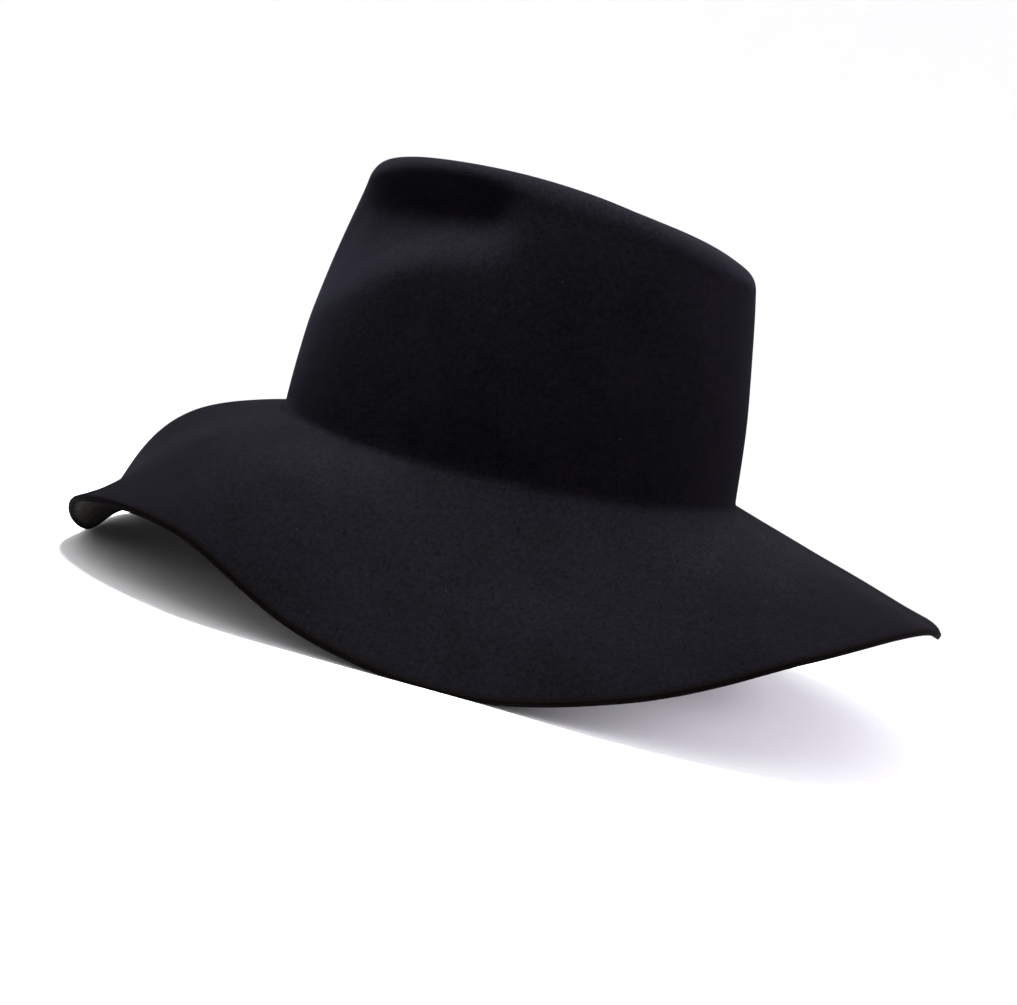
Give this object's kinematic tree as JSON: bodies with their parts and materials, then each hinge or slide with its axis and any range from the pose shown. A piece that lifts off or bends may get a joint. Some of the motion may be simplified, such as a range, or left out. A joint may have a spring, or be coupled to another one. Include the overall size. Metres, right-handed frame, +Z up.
{
  "type": "fedora",
  "caption": "Soft felt fedora with a creased crown pinched at both sides in front and a wide drooping brim, resting on its brim.",
  "frame": {"origin": "on the surface that the hat rests on, under the middle of the hat's outer box", "axes": "+Z up; the hat faces -Y, its wearer's left is +X; its length from front to back runs along Y"},
  "size_m": [0.3378, 0.3698, 0.1946],
  "materials": {
    "felt": "brushed wool felt, matt, nearly black with a cool tint"
  },
  "bodies": {
    "root": {"felt_body": "felt"}
  },
  "joints": []
}
